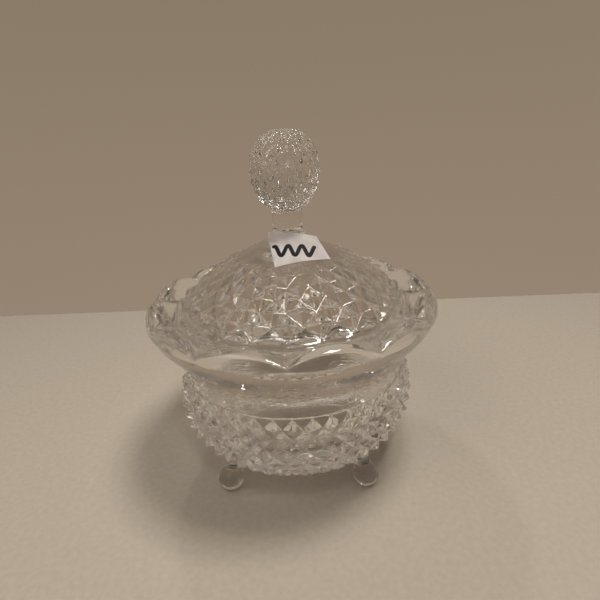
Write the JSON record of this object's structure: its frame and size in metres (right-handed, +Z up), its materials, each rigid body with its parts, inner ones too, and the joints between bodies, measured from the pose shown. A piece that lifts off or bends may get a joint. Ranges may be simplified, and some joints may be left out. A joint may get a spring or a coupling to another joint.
{
  "type": "covered candy dish",
  "caption": "Covered candy dish in clear pressed glass: a diamond-cut bowl on ball toes with a petal-edged rim, and a lift-off domed lid with a ball knob.",
  "frame": {"origin": "centre of the circle of toes, on the surface that the dish stands on", "axes": "+Z up along the dish's axis, -Y towards the side that carries the label"},
  "size_m": [0.146, 0.146, 0.1731],
  "materials": {
    "bowl_glass": "clear pressed glass, fire polished",
    "lid_glass": "clear pressed glass, fire polished",
    "label_paper": "matt white sticker"
  },
  "bodies": {
    "bowl": {"bowl": "bowl_glass"},
    "lid": {"lid": "lid_glass", "lot_label": "label_paper"}
  },
  "joints": [
    {"name": "lid_lift", "type": "slide", "parent": "bowl", "child": "lid", "axis": [0, 0, 1], "range_m": [0, 0.12]}
  ]
}
